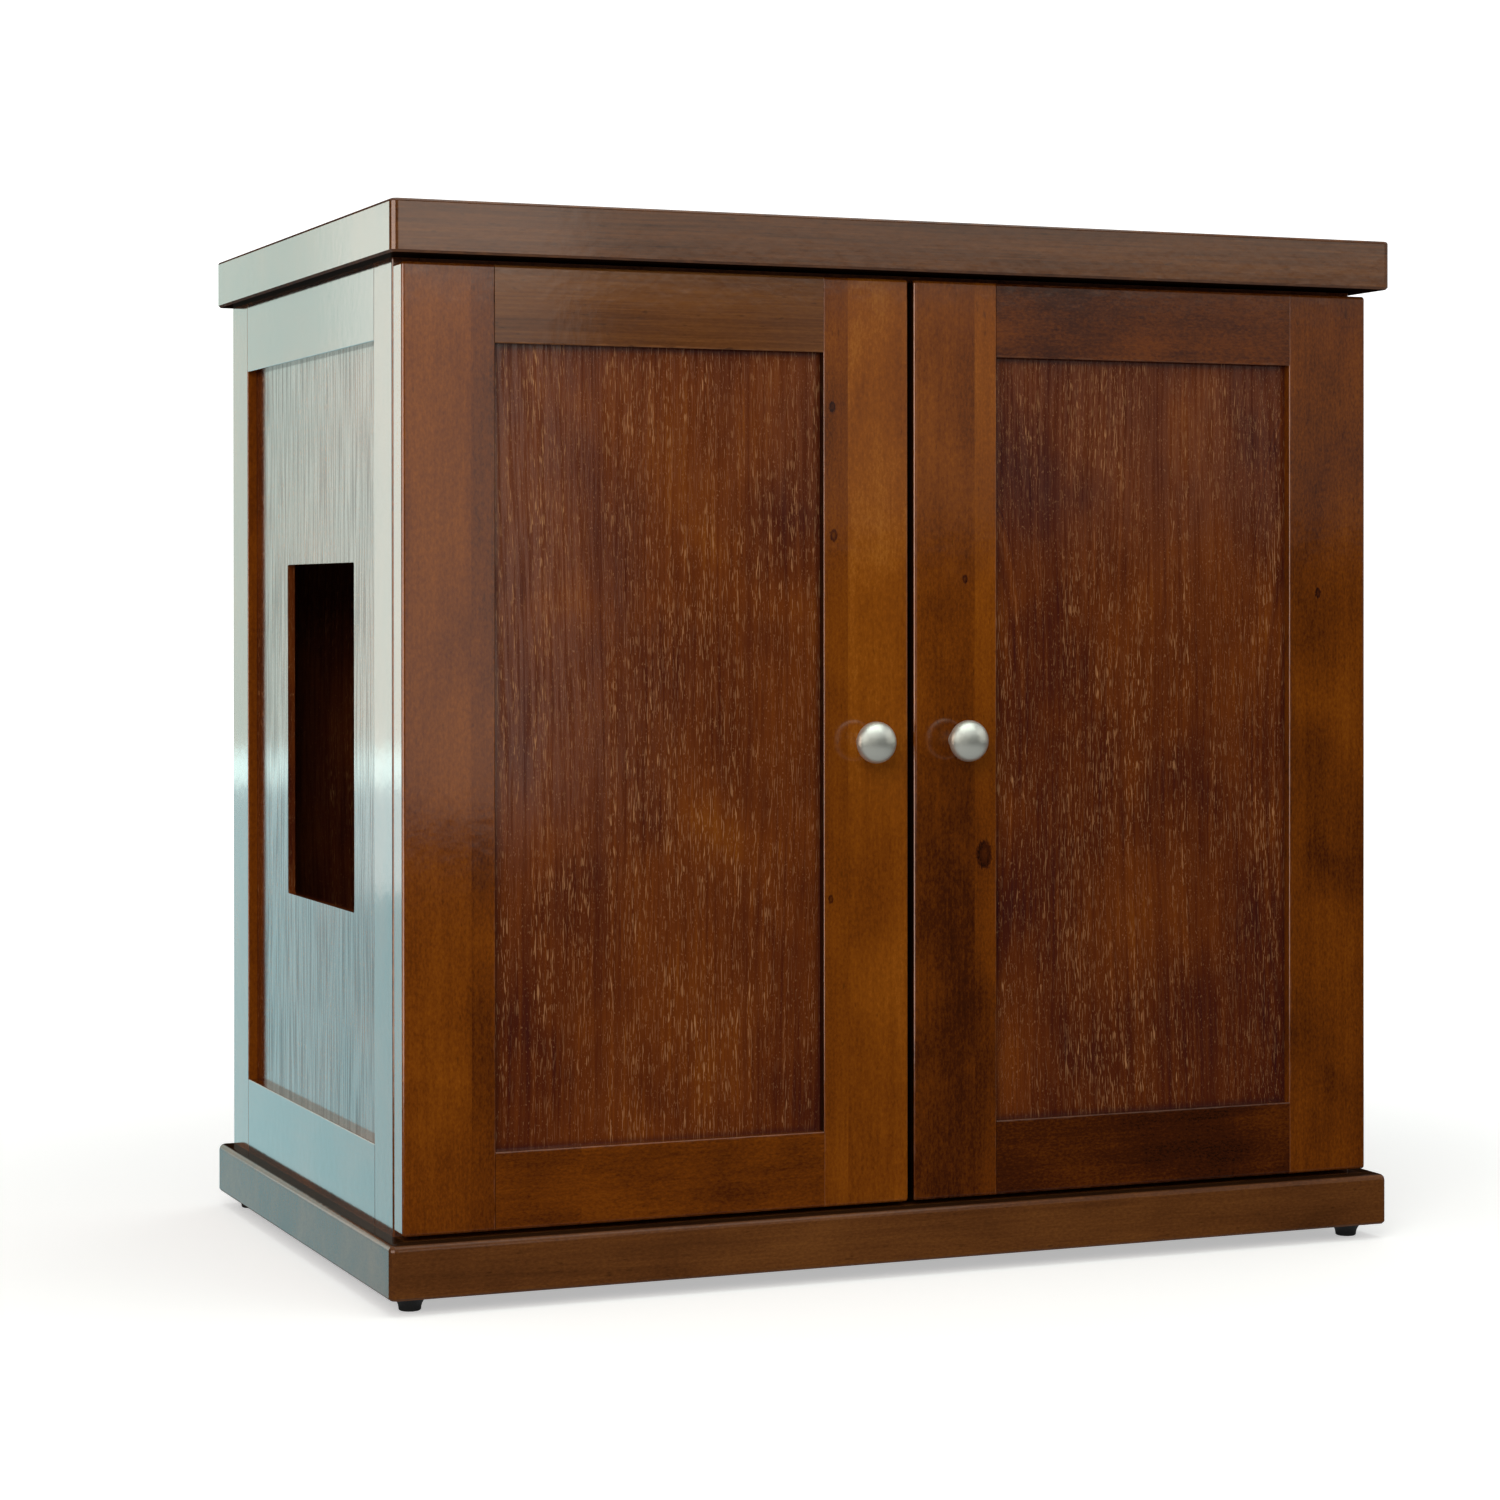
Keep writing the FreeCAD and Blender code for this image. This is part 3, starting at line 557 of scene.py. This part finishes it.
# What each other node is made of, by the end of its name
finishes = {
    "hinge_arm": platedSteel,
    "hinge_cup": platedSteel,
    "hinge_plate": platedSteel,
    "hinge_pins": platedSteel,
    "strike_plate": platedSteel,
    "knob": satinNickel,
    "knob_screw": zincPlate,
    "foot": footRubber,
    "catch_body": catchPlastic,
    "catch_magnets": magnetGrey,
}
for node, shown in nodes.items():
    for ending, finish in finishes.items():
        if node.endswith(ending):
            shown.data.materials.clear()
            shown.data.materials.append(finish)
print("metal, rubber and plastic finished")


def turnedPiece(name, rings, sides):
    # a disc, extruded ring by ring along z; each ring is (height, radius) in mm
    rings = [(height * mm, radius * mm) for height, radius in rings]
    height, radius = rings[0]
    bpy.ops.object.select_all(action="DESELECT")
    bpy.ops.mesh.primitive_circle_add(
        vertices=sides, radius=radius, fill_type="NGON", location=(0, 0, height))
    piece = bpy.context.object
    piece.name = piece.data.name = name
    bpy.ops.object.transform_apply(location=True)
    bpy.ops.object.mode_set(mode="EDIT")
    bpy.ops.mesh.select_all(action="SELECT")
    for nextHeight, nextRadius in rings[1:]:
        rise = (0, 0, nextHeight - height)
        bpy.ops.mesh.extrude_region_move(TRANSFORM_OT_translate={"value": rise})
        grow = nextRadius / radius
        bpy.ops.transform.resize(value=(grow, grow, 1), center_override=(0, 0, nextHeight))
        height, radius = nextHeight, nextRadius
    bpy.ops.mesh.select_all(action="SELECT")
    bpy.ops.mesh.normals_make_consistent(inside=False)
    bpy.ops.object.mode_set(mode="OBJECT")
    return piece


def placeCopy(master, name, point, direction):
    # a copy with its own mesh, its +z axis turned to the direction
    piece = bpy.data.objects.new(name, master.data.copy())
    scene.collection.objects.link(piece)
    turn = Vector(direction).to_track_quat("Z", "Y").to_matrix().to_4x4()
    piece.data.transform(Matrix.Translation(Vector(point)) @ turn)
    piece.data.name = name
    return piece


def finishPiece(piece, material, angle=35):
    piece.data.materials.clear()
    piece.data.materials.append(material)
    bpy.ops.object.select_all(action="DESELECT")
    piece.select_set(True)
    bpy.context.view_layer.objects.active = piece
    bpy.ops.object.shade_smooth_by_angle(angle=math.radians(angle))


def joined(pieces, name):
    bpy.ops.object.select_all(action="DESELECT")
    for piece in pieces:
        piece.select_set(True)
    bpy.context.view_layer.objects.active = pieces[0]
    if len(pieces) > 1:
        bpy.ops.object.join()
    pieces[0].name = pieces[0].data.name = name
    return pieces[0]


def arcRings(centreHeight, centreRadius, radius, fromAngle, toAngle, steps):
    # rings along an arc; angles in degrees from the tip's direction
    rings = []
    for i in range(steps + 1):
        angle = math.radians(fromAngle + (toAngle - fromAngle) * i / steps)
        height = centreHeight + radius * math.cos(angle)
        rings.append((height, centreRadius + radius * math.sin(angle)))
    return rings


# Mushroom knob, turned and plated; sizes in mm, angles in degrees from the tip
knob = {
    "rosette": 6.2,
    "rosetteHeight": 2.0,
    "rosetteBevel": 0.8,
    "neck": 11.0,
    "waist": 4.5,
    "neckTop": 5.6,
    "radius": 13.5,
    "dome": 9.5,
    "rim": 7.0,
    "underside": 5.0,
    "undercut": 162.0,
    "tip": 1.2,
    "bevelSteps": 4,
    "neckSteps": 8,
    "rimSteps": 8,
    "crownSteps": 7,
    "sides": 64,
    "smoothing": 40,
}


def knobRings(size):
    bevel = size["rosetteBevel"]
    bevelLow = size["rosetteHeight"] - bevel
    lip = size["rosette"] - bevel
    rings = [(0, size["rosette"]), (bevelLow, size["rosette"])]
    rings += arcRings(bevelLow, lip, bevel, 90, 0, size["bevelSteps"])[1:]
    # the neck narrows to its waist between the rosette's lip and the head
    for i in range(1, size["neckSteps"] + 1):
        along = i / size["neckSteps"]
        straight = lip * (1 - along) + size["neckTop"] * along
        radius = straight - (straight - size["waist"]) * math.sin(math.pi * along)
        rings.append((size["rosetteHeight"] + size["neck"] * along, radius))
    # the head: underside, rim, and a crown whose arc meets the rim's
    head = size["rosetteHeight"] + size["neck"] + size["underside"]
    under = size["underside"]
    rings += arcRings(head, size["radius"] - under, under, size["undercut"], 90, size["rimSteps"])
    rim, dome = size["rim"], size["dome"]
    rimCentre = size["radius"] - rim
    crown = (rimCentre ** 2 + dome ** 2 - rim ** 2) / (2 * (dome - rim))
    crownCentre = head + dome - crown
    lean = math.degrees(math.atan2(rimCentre, head - crownCentre))
    rings += arcRings(head, rimCentre, rim, 90, lean, size["rimSteps"])[1:]
    rings += arcRings(crownCentre, 0, crown, lean, size["tip"], size["crownSteps"])[1:]
    return rings


knobMaster = turnedPiece("knobMaster", knobRings(knob), knob["sides"])
for side, body in (("left", "left_door"), ("right", "right_door")):
    low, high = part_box(side + "_knob")
    seat = ((low.x + high.x) / 2, high.y, (low.z + high.z) / 2)
    piece = placeCopy(knobMaster, side + "Knob", seat, (0, -1, 0))
    finishPiece(piece, satinNickel, knob["smoothing"])
    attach(piece, body)
    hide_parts(side + "_knob")
bpy.data.objects.remove(knobMaster)
print("knobs turned")

# Moulded rubber foot, hollow flare and a recess for its screw; sizes in mm
feet = ("front_left_foot", "front_right_foot", "rear_left_foot", "rear_right_foot")
rubberFoot = {
    "bottom": 7.0,
    "waist": 8.0,
    "top": 11.5,
    "lip": 0.8,
    "height": 10.0,
    "recess": 4.2,
    "recessDepth": 4.5,
    "edge": 0.6,
    "closing": 0.3,         # radius of the small flat faces that close it on its axis
    "flareSteps": 8,
    "sides": 48,
}


def footRings(size):
    # from the recess's floor down its wall, round the tread and up the flare
    edge, bottom, top = size["edge"], size["bottom"], size["top"]
    rings = [(size["recessDepth"], size["closing"]), (size["recessDepth"], size["recess"])]
    rings += [(edge, size["recess"]), (0, size["recess"] + edge)]
    rings += [(0, bottom - edge), (edge, bottom)]
    lipLow = size["height"] - size["lip"]
    hollow = (bottom + top) / 2 - size["waist"]
    for i in range(1, size["flareSteps"] + 1):
        along = i / size["flareSteps"]
        straight = bottom + (top - bottom) * along
        radius = straight - hollow * math.sin(math.pi * along)
        rings.append((edge + (lipLow - edge) * along, radius))
    rings += [(size["height"], top), (size["height"], size["closing"])]
    return rings


footMaster = turnedPiece("footMaster", footRings(rubberFoot), rubberFoot["sides"])
for name in feet:
    low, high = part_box(name)
    seat = ((low.x + high.x) / 2, (low.y + high.y) / 2, 0)
    piece = placeCopy(footMaster, pieceName(name), seat, (0, 0, 1))
    finishPiece(piece, footRubber)
    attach(piece, "cabinet")
    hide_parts(name)
bpy.data.objects.remove(footMaster)
print("feet moulded")

# Screw heads with a cross recess; sizes in mm. A raised head stands on the surface it clamps
screwHeads = {
    "countersunk": dict(
        radius=3.4, height=0.5, edge=0.12, slot=3.6, slotWidth=0.9, slotDepth=1.2),
    "pan": dict(radius=3.6, height=2.0, edge=0.7, slot=4.0, slotWidth=1.0, slotDepth=1.3),
    "knobPan": dict(radius=4.2, height=2.6, edge=0.9, slot=4.6, slotWidth=1.1, slotDepth=1.5),
    "flush": dict(radius=2.6, height=0.12, edge=0.04, slot=2.8, slotWidth=0.7, slotDepth=0.9),
}
# What all the heads share
headShape = {
    "sunken": -1.6,         # its foot, below the surface
    "sunkenShare": 0.5,     # the foot's radius over the head's
    "closing": 0.35,
    "domeSteps": 6,
    "domeCurve": 0.55,      # 1 is round, less is flatter on top
    "sides": 40,
    "taper": 0.45,          # the cross at its bottom over its top
    "smoothing": 30,
}


def screwHead(name, head):
    # a low dome from a sunken foot, then a cross cut into it
    radius, height, edge = head["radius"], head["height"], head["edge"]
    rings = [(headShape["sunken"], radius * headShape["sunkenShare"]), (0, radius), (edge, radius)]
    for i in range(1, headShape["domeSteps"]):
        angle = math.radians(90 * i / headShape["domeSteps"])
        rings.append((edge + (height - edge) * math.sin(angle),
                      radius * math.cos(angle) ** headShape["domeCurve"]))
    rings.append((height, headShape["closing"]))
    piece = turnedPiece(name, rings, headShape["sides"])
    long, wide = head["slot"] / 2 * mm, head["slotWidth"] / 2 * mm
    taper = (headShape["taper"], headShape["taper"], 1)
    cutters = []
    for across, along in ((long, wide), (wide, long)):
        bpy.ops.object.select_all(action="DESELECT")
        bpy.ops.mesh.primitive_cube_add(size=2, location=(0, 0, height * mm))
        cutter = bpy.context.object
        cutter.scale = (across, along, head["slotDepth"] * mm)
        bpy.ops.object.transform_apply(location=True, scale=True)
        bpy.ops.object.mode_set(mode="EDIT")
        bpy.ops.mesh.select_all(action="DESELECT")
        bpy.ops.object.mode_set(mode="OBJECT")
        for vertex in cutter.data.vertices:
            vertex.select = vertex.co.z < 0
        bpy.ops.object.mode_set(mode="EDIT")
        bpy.ops.transform.resize(value=taper, center_override=(0, 0, 0))
        bpy.ops.object.mode_set(mode="OBJECT")
        cutters.append(cutter)
    for cutter in cutters:
        bpy.ops.object.select_all(action="DESELECT")
        piece.select_set(True)
        bpy.context.view_layer.objects.active = piece
        cut = piece.modifiers.new("crossRecess", "BOOLEAN")
        cut.operation = "DIFFERENCE"
        cut.solver = "EXACT"
        cut.object = cutter
        bpy.ops.object.modifier_apply(modifier=cut.name)
        bpy.data.objects.remove(cutter)
    return piece


heads = {name: screwHead(name + "Master", head) for name, head in screwHeads.items()}

# Where the screws sit, in mm
screwPlaces = {
    "earIn": 9.5,           # from the inner end of a hinge cup to the line of its ears
    "earAside": 22.5,       # above and below the middle of the hinge
    "plateFace": 2.5,       # a hinge plate's thickness
    "wingBack": 20,         # from a hinge plate's front end
    "wingAside": 16,
    "armBack": (6, 24),     # clamping screw and setting screw, from an arm's rear end
    "baseRear": 189,        # y of the rear screws of the base board
    "railAside": 240,       # x of the outer screws of the top rails
    "catchIn": 5.5,         # from the catch's ends
    "catchDown": 4,         # from its top to the underside of its ears
}


def middle(node):
    low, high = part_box(node)
    return (low + high) / 2


def hingeScrews(side, level):
    # two in the cup's ears, two in the plate's wings, one clamping and one setting screw on the arm
    sizes = screwPlaces
    sign = 1 if side == "left" else -1
    name = side + "_" + level + "_hinge_"
    cupLow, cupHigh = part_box(name + "cup")
    plateLow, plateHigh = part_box(name + "plate")
    armLow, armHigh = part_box(name + "arm")
    z = middle(name + "cup").z
    if side == "left":
        earX = cupHigh.x - sizes["earIn"] * mm
        plateX = plateLow.x + sizes["plateFace"] * mm
        armX = armHigh.x
    else:
        earX = cupLow.x + sizes["earIn"] * mm
        plateX = plateHigh.x - sizes["plateFace"] * mm
        armX = armLow.x
    wingY = plateLow.y + sizes["wingBack"] * mm
    ears, wings = [], []
    for way in (-1, 1):
        ears.append(((earX, cupHigh.y, z + way * sizes["earAside"] * mm), (0, 1, 0)))
        wings.append(((plateX, wingY, z + way * sizes["wingAside"] * mm), (sign, 0, 0)))
    arm = [((armX, armHigh.y - back * mm, z), (sign, 0, 0)) for back in sizes["armBack"]]
    return ears, wings, arm


def addScrews(name, body, head, places):
    pieces = [placeCopy(heads[head], name + str(i), *place) for i, place in enumerate(places)]
    group = joined(pieces, name)
    finishPiece(group, zincPlate, headShape["smoothing"])
    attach(group, body)
    return group


plateScrews, armScrews = [], []
for side in ("left", "right"):
    earScrews = []
    for level in ("lower", "upper"):
        ears, wings, arm = hingeScrews(side, level)
        earScrews += ears
        plateScrews += wings
        armScrews += arm
    addScrews(side + "HingeCupScrews", side + "_door", "countersunk", earScrews)
    low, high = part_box(side + "_knob_screw")
    under = high.y - screwHeads["knobPan"]["height"] * mm
    at = ((low.x + high.x) / 2, under, (low.z + high.z) / 2)
    knobScrew = addScrews(side + "KnobScrew", side + "_door", "knobPan", [(at, (0, 1, 0))])
    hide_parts(side + "_knob_screw")
    strike = middle(side + "_strike_plate")
    at = (strike.x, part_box(side + "_strike_plate")[1].y, strike.z)
    addScrews(side + "StrikeScrew", side + "_door", "flush", [(at, (0, 1, 0))])
addScrews("hingePlateScrews", "cabinet", "countersunk", plateScrews)
addScrews("hingeArmScrews", "cabinet", "pan", armScrews)

down = (0, 0, -1)
footScrews = []
for name in feet:
    centre = middle(name)
    footScrews.append(((centre.x, centre.y, rubberFoot["recessDepth"] * mm), down))
addScrews("footScrews", "cabinet", "countersunk", footScrews)

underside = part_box("base_board")[0].z
sideStile, sideRail = middle("left_side_front_stile"), middle("left_side_bottom_rail")
baseScrews = []
for x in (sideStile.x, middle("right_side_front_stile").x):
    for y in (sideStile.y, sideRail.y, screwPlaces["baseRear"] * mm):
        baseScrews.append(((x, y, underside), down))
addScrews("baseScrews", "cabinet", "countersunk", baseScrews)

railScrews = []
for name in ("front_top_rail", "rear_top_rail"):
    low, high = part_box(name)
    for x in (-screwPlaces["railAside"] * mm, 0, screwPlaces["railAside"] * mm):
        railScrews.append(((x, (low.y + high.y) / 2, low.z), down))
low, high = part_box("catch_body")
earUnderside = high.z - screwPlaces["catchDown"] * mm
for x in (low.x + screwPlaces["catchIn"] * mm, high.x - screwPlaces["catchIn"] * mm):
    railScrews.append(((x, (low.y + high.y) / 2, earUnderside), down))
addScrews("railScrews", "cabinet", "countersunk", railScrews)
for head in heads.values():
    bpy.data.objects.remove(head)
print("screws driven")

# Studio: pale floor, white behind, and soft lights; sizes in metres from the cabinet's middle
studio = {
    "floor": "#ededec",
    "floorPale": "#f4f4f3",
    "floorSize": 60.0,
    "floorDrop": 0.0002,
    "floorCloud": 300,      # mm
    "floorLimits": (0.3, 0.7, 0, 0.15),
    "floorRoughness": 0.9,
    "clear": (0.55, 1.8),   # where the floor's glow starts to rise and is full
    "glow": (0.45, 1.0),
    "ambient": 0.34,
    "mirrored": 0.01,       # what polished faces see level with them, where there is no light
    "ceiling": 0.55,
    "ceilingLimits": (0.20, 0.60),      # how far up a ray points, where this starts and is full
    "ground": 0.30,
    "groundLimits": (-0.16, -0.45),
}


def addFloor(look):
    bpy.ops.object.select_all(action="DESELECT")
    bpy.ops.mesh.primitive_plane_add(size=look["floorSize"], location=(0, 0, -look["floorDrop"]))
    floor = bpy.context.object
    floor.name = "studioFloor"
    made = newMaterial("studioPaper")
    tree = made.node_tree
    coords = addNode(tree, "TexCoord", output="Object")
    cloud = cloudyPattern(tree, coords, [look["floorCloud"]] * 3)
    cloud = addNode(tree, "MapRange", (cloud, *look["floorLimits"]), **softStep)
    colours = {0: cloud, 6: fromHex(look["floor"]), 7: fromHex(look["floorPale"])}
    # the paper glows a little, more towards the far edge, so that it meets the white behind it
    reach = addNode(tree, "VectorMath", (coords,), "Value", operation="LENGTH")
    inputs = {
        "Base Color": addNode(tree, "Mix", colours, **ofColours),
        "Roughness": look["floorRoughness"],
        "Emission Color": (1, 1, 1, 1),
        "Emission Strength": addNode(
            tree, "MapRange", (reach, *look["clear"], *look["glow"]), **softStep),
    }
    addNode(tree, "OutputMaterial", {"Surface": addNode(tree, "BsdfPrincipled", inputs)}, None)
    floor.data.materials.append(made)
    floor.visible_glossy = False
    floor.visible_diffuse = False       # throws no light up into the gaps and under the top


def addWorld(look):
    # white to the camera and a soft fill to matt surfaces; polished ones see a pale ceiling and
    # ground with dark walls between
    world = bpy.data.worlds.new("studioWorld")
    scene.world = world
    world.use_nodes = True
    tree = world.node_tree
    tree.nodes.clear()
    path = addNode(tree, "LightPath", (), None).outputs
    direction = addNode(tree, "TexCoord", output="Generated")
    upward = addNode(tree, "SeparateXYZ", (direction,), None).outputs[2]
    limits = (upward, *look["ceilingLimits"], 0, look["ceiling"])
    ceiling = addNode(tree, "MapRange", limits, **softStep)
    limits = (upward, *look["groundLimits"], 0, look["ground"])
    ground = addNode(tree, "MapRange", limits, **softStep)
    walls = look["mirrored"] - look["ambient"]
    polished = addNode(tree, "Math", (ceiling, ground), operation="ADD")
    polished = addNode(tree, "Math", (polished, walls), operation="ADD")
    strength = (path["Is Glossy Ray"], polished, look["ambient"])
    strength = addNode(tree, "Math", strength, operation="MULTIPLY_ADD")
    strength = (path["Is Camera Ray"], 1.0, strength)
    strength = addNode(tree, "Math", strength, operation="MULTIPLY_ADD")
    sky = addNode(tree, "Background", {"Color": (1, 1, 1, 1), "Strength": strength})
    addNode(tree, "OutputWorld", {"Surface": sky}, None)


# Each light: place, what it faces, width, height, brightness of its face, tint. The soft ones
# light matt surfaces and metal; each mirrored one shows only in the pieces named last
softLights = {
    "keyLeft": ((-1.7, -2.5, 1.6), (-0.1, -0.2, 0.4), 1.6, 1.6, 4.0, "#fff8f0"),
    "wallLeft": ((-2.6, -1.2, 1.1), (0.0, -0.2, 0.4), 2.4, 2.0, 0.55, "#fffaf2"),
    "wallRight": ((2.8, -1.2, 1.2), (0.0, -0.2, 0.4), 2.4, 2.0, 0.5, "#fffaf2"),
    "overhead": ((0.0, -0.6, 2.6), (0.0, 0.0, 0.0), 2.6, 2.6, 1.2, "#f4fff8"),
    "backRight": ((2.4, 2.6, 1.6), (0.0, 0.0, 0.4), 1.6, 1.6, 1.4, "#ffffff"),
}
tooHarshOnTop = ("keyLeft", "backRight")    # these two don't show in polished pieces
mirroredLights = {
    "keyShine": (*softLights["keyLeft"], "belowTop"),
    "glowRightHigh": ((1.0, -3.2, 1.10), (0.0, -0.2, 0.9), 3.4, 0.30, 1.6, "#fff2e2", "wood"),
    "glowFront": ((0.32, -3.2, 0.60), (-0.3, -0.2, 0.4), 0.95, 1.0, 1.15, "#fff4ea", "wood"),
    "glowRightLow": ((1.9, -3.2, 0.75), (0.0, -0.2, 0.6), 1.4, 0.4, 0.30, "#fff4ea", "wood"),
    "arrisLeft": ((-2.4, -1.0, 0.6), (0.0, -0.2, 0.4), 2.6, 1.6, 6.5, "#ffe2d2", "wood"),
    "sideGlowEdge": ((-1.65, 3.1, 0.54), (-0.3, 0.0, 0.4), 0.8, 1.16, 1.25, "#fff2e6", "wood"),
    "sideGlowHigh": ((-0.95, 3.2, 0.63), (-0.3, 0.0, 0.45), 1.9, 0.97, 2.05, "#e0f6ec", "wood"),
    "sideGlowLow": (
        (-1.1, 3.2, -0.25), (-0.3, 0.0, 0.15), 2.2, 0.9, 2.15, "#b8e4e8", "woodBelowTop"),
    "glowFarRight": ((3.2, 1.5, 0.5), (0.3, 0.0, 0.4), 1.8, 2.2, 0.9, "#fff6ee", "wood"),
}


def addLight(name, place, target, width, height, brightness, tint):
    data = bpy.data.lights.new(name, "AREA")
    data.shape = "RECTANGLE"
    data.size, data.size_y = width, height
    data.energy = brightness * math.pi * width * height
    data.color = fromHex(tint)[:3]
    lamp = bpy.data.objects.new(name, data)
    lamp.location = place
    lamp.rotation_euler = (Vector(target) - Vector(place)).to_track_quat("-Z", "Y").to_euler()
    scene.collection.objects.link(lamp)
    return lamp


def grouped(name, pieces):
    group = bpy.data.collections.new(name)
    for piece in pieces:
        group.objects.link(piece)
    return group


addFloor(studio)
addWorld(studio)
wooden = [nodes[name] for name in {**solidPieces, **panelPieces}]
shapes = [piece for piece in scene.objects if piece.type == "MESH"]
notBelowTop = (nodes["top_board"], bpy.data.objects["studioFloor"])
receivers = {
    "wood": grouped("wood", wooden),
    "woodBelowTop": grouped("woodBelowTop", [p for p in wooden if p not in notBelowTop]),
    "belowTop": grouped("belowTop", [p for p in shapes if p not in notBelowTop]),
}
for name, setting in softLights.items():
    lamp = addLight(name, *setting)
    lamp.visible_glossy = name not in tooHarshOnTop
for name, (*setting, shownIn) in mirroredLights.items():
    lamp = addLight(name, *setting)
    lamp.visible_diffuse = False
    lamp.light_linking.receiver_collection = receivers[shownIn]
print("studio lit with", len(softLights) + len(mirroredLights), "lights")
